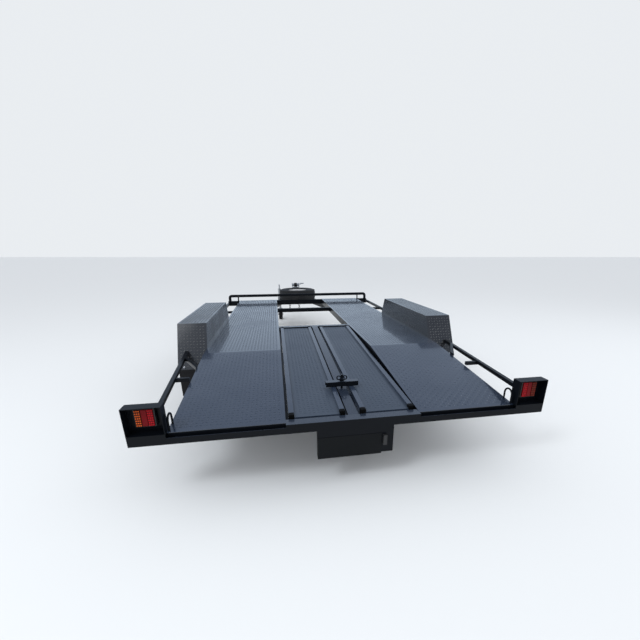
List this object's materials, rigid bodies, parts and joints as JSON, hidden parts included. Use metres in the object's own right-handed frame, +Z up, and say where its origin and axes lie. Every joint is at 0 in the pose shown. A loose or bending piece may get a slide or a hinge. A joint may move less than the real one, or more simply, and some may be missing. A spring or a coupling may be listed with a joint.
{
  "type": "car trailer",
  "caption": "Tandem-axle flat-bed car trailer with beaver tail, tread-plate tracks, stowed ramps, spare wheel, ball coupling and jockey wheel.",
  "frame": {"origin": "centre of the overall box, on the ground", "axes": "+X to the right of travel, +Y forwards to the coupling, +Z up"},
  "size_m": [2.45, 6.132, 0.725],
  "materials": {
    "dark_paint": "gloss dark enamel",
    "tread_plate": "gloss dark enamel on raised tread plate",
    "tyre_rubber": "matt rubber",
    "rim_paint": "pale enamel",
    "flap_rubber": "matt",
    "lamp_lens": "red and amber lens",
    "lamp_case": "satin",
    "blank_plate": "satin, blank",
    "zinc": "zinc plated"
  },
  "bodies": {
    "chassis": {"axle_front": "dark_paint", "axle_rear": "dark_paint", "centre_bearer": "dark_paint", "coupling": "zinc", "coupling_lever": "zinc", "cross_members": "dark_paint", "deck_left": "tread_plate", "deck_right": "tread_plate", "drawbar": "dark_paint", "front_beam": "dark_paint", "headboard": "dark_paint", "inner_rail_left": "dark_paint", "inner_rail_right": "dark_paint", "jockey_clamp": "zinc", "jockey_crank": "zinc", "jockey_tube": "zinc", "light_box_left": "dark_paint", "light_box_right": "dark_paint", "mudflap_left": "flap_rubber", "mudflap_right": "flap_rubber", "mudguard_left": "tread_plate", "mudguard_right": "tread_plate", "number_plate": "blank_plate", "outer_rail_left": "dark_paint", "outer_rail_right": "dark_paint", "plate_bracket": "dark_paint", "plate_lamp": "lamp_case", "ramp_clamp": "dark_paint", "ramp_left": "tread_plate", "ramp_right": "tread_plate", "rear_beam": "dark_paint", "side_rail_front_left": "dark_paint", "side_rail_front_right": "dark_paint", "side_rail_rear_left": "dark_paint", "side_rail_rear_right": "dark_paint", "spare_carrier": "dark_paint", "spare_rim": "rim_paint", "spare_tyre": "tyre_rubber", "springs_left": "dark_paint", "springs_right": "dark_paint", "tail_lamp_left": "lamp_lens", "tail_lamp_right": "lamp_lens", "tie_down_loops": "dark_paint", "winch": "zinc", "winch_post": "dark_paint"},
    "wheel_rear_left": {"rim_rear_left": "rim_paint", "tyre_rear_left": "tyre_rubber"},
    "wheel_rear_right": {"rim_rear_right": "rim_paint", "tyre_rear_right": "tyre_rubber"},
    "wheel_front_left": {"rim_front_left": "rim_paint", "tyre_front_left": "tyre_rubber"},
    "wheel_front_right": {"rim_front_right": "rim_paint", "tyre_front_right": "tyre_rubber"},
    "jockey_slider": {"jockey_inner_tube": "zinc"},
    "jockey_caster": {"jockey_fork": "zinc"},
    "jockey_roller": {"jockey_wheel": "flap_rubber"}
  },
  "joints": [
    {"name": "wheel_rear_left_spin", "type": "hinge", "parent": "chassis", "child": "wheel_rear_left", "pos_m": [-1.11, -1.431, 0.325], "axis": [1, 0, 0], "continuous": true},
    {"name": "wheel_rear_right_spin", "type": "hinge", "parent": "chassis", "child": "wheel_rear_right", "pos_m": [1.11, -1.431, 0.325], "axis": [1, 0, 0], "continuous": true},
    {"name": "wheel_front_left_spin", "type": "hinge", "parent": "chassis", "child": "wheel_front_left", "pos_m": [-1.11, -0.671, 0.325], "axis": [1, 0, 0], "continuous": true},
    {"name": "wheel_front_right_spin", "type": "hinge", "parent": "chassis", "child": "wheel_front_right", "pos_m": [1.11, -0.671, 0.325], "axis": [1, 0, 0], "continuous": true},
    {"name": "jockey_lift", "type": "slide", "parent": "chassis", "child": "jockey_slider", "axis": [0, 0, 1], "range_m": [0, 0.13]},
    {"name": "jockey_swivel", "type": "hinge", "parent": "jockey_slider", "child": "jockey_caster", "pos_m": [-0.318, 2.378, 0.15], "axis": [0, 0, 1], "continuous": true},
    {"name": "jockey_wheel_spin", "type": "hinge", "parent": "jockey_caster", "child": "jockey_roller", "pos_m": [-0.318, 2.34, 0.1], "axis": [1, 0, 0], "continuous": true}
  ]
}
